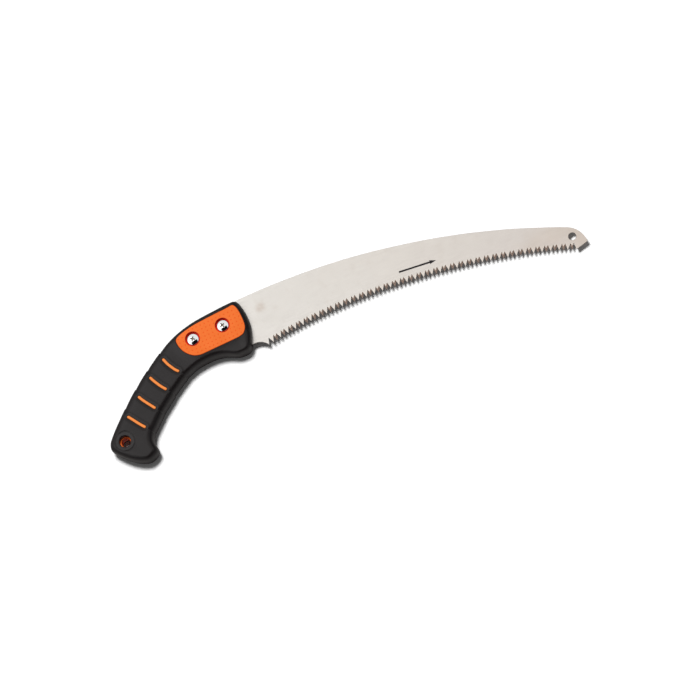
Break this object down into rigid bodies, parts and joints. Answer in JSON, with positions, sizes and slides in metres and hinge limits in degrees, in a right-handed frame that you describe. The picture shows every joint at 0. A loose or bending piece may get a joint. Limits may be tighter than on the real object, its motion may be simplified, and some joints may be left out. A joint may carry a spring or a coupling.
{
  "type": "pruning saw",
  "caption": "Fixed-blade pistol-grip pruning saw: long curved pull-cut blade with a hang hole at the tip, bolted into a two-component curved handle.",
  "frame": {"origin": "middle of the bounding box's bottom face: the saw lies on its far side pad", "axes": "+X along the line through the two handle screws, towards the blade tip; +Y towards the blade's back; +Z through the thickness, towards the side with the screw heads"},
  "size_m": [0.5267, 0.1172, 0.026],
  "materials": {
    "blade_steel": "fine ground, matt satin",
    "orange_plastic": "moulded polypropylene with a fine dot texture on the pads",
    "black_rubber": "soft-touch moulded elastomer, matt",
    "chrome_fastener": "bright nickel-chrome plating",
    "zinc_washer": "bright zinc plating"
  },
  "bodies": {
    "handle": {"saw_blade": "blade_steel", "handle_core": "orange_plastic", "soft_grip": "black_rubber", "front_sleeve_nut": "chrome_fastener", "rear_sleeve_nut": "chrome_fastener"},
    "front_washer": {"front_washer": "zinc_washer"},
    "front_screw": {"front_screw": "chrome_fastener"},
    "rear_washer": {"rear_washer": "zinc_washer"},
    "rear_screw": {"rear_screw": "chrome_fastener"}
  },
  "joints": [
    {"name": "front_washer_lift", "type": "slide", "parent": "handle", "child": "front_washer", "axis": [0, 0, 1], "range_m": [0, 0.012]},
    {"name": "front_screw_turn", "type": "hinge", "parent": "front_washer", "child": "front_screw", "pos_m": [-0.1087, 0.0372, 0.013], "axis": [0, 0, 1], "range_deg": [0, 5400.1]},
    {"name": "rear_washer_lift", "type": "slide", "parent": "handle", "child": "rear_washer", "axis": [0, 0, 1], "range_m": [0, 0.012]},
    {"name": "rear_screw_turn", "type": "hinge", "parent": "rear_washer", "child": "rear_screw", "pos_m": [-0.142, 0.0372, 0.013], "axis": [0, 0, 1], "range_deg": [0, 5400.1]}
  ],
  "couplings": [
    {"joint": "front_screw_turn", "follows": "front_washer_lift", "rad_per_m": 7854},
    {"joint": "rear_screw_turn", "follows": "rear_washer_lift", "rad_per_m": 7854}
  ]
}
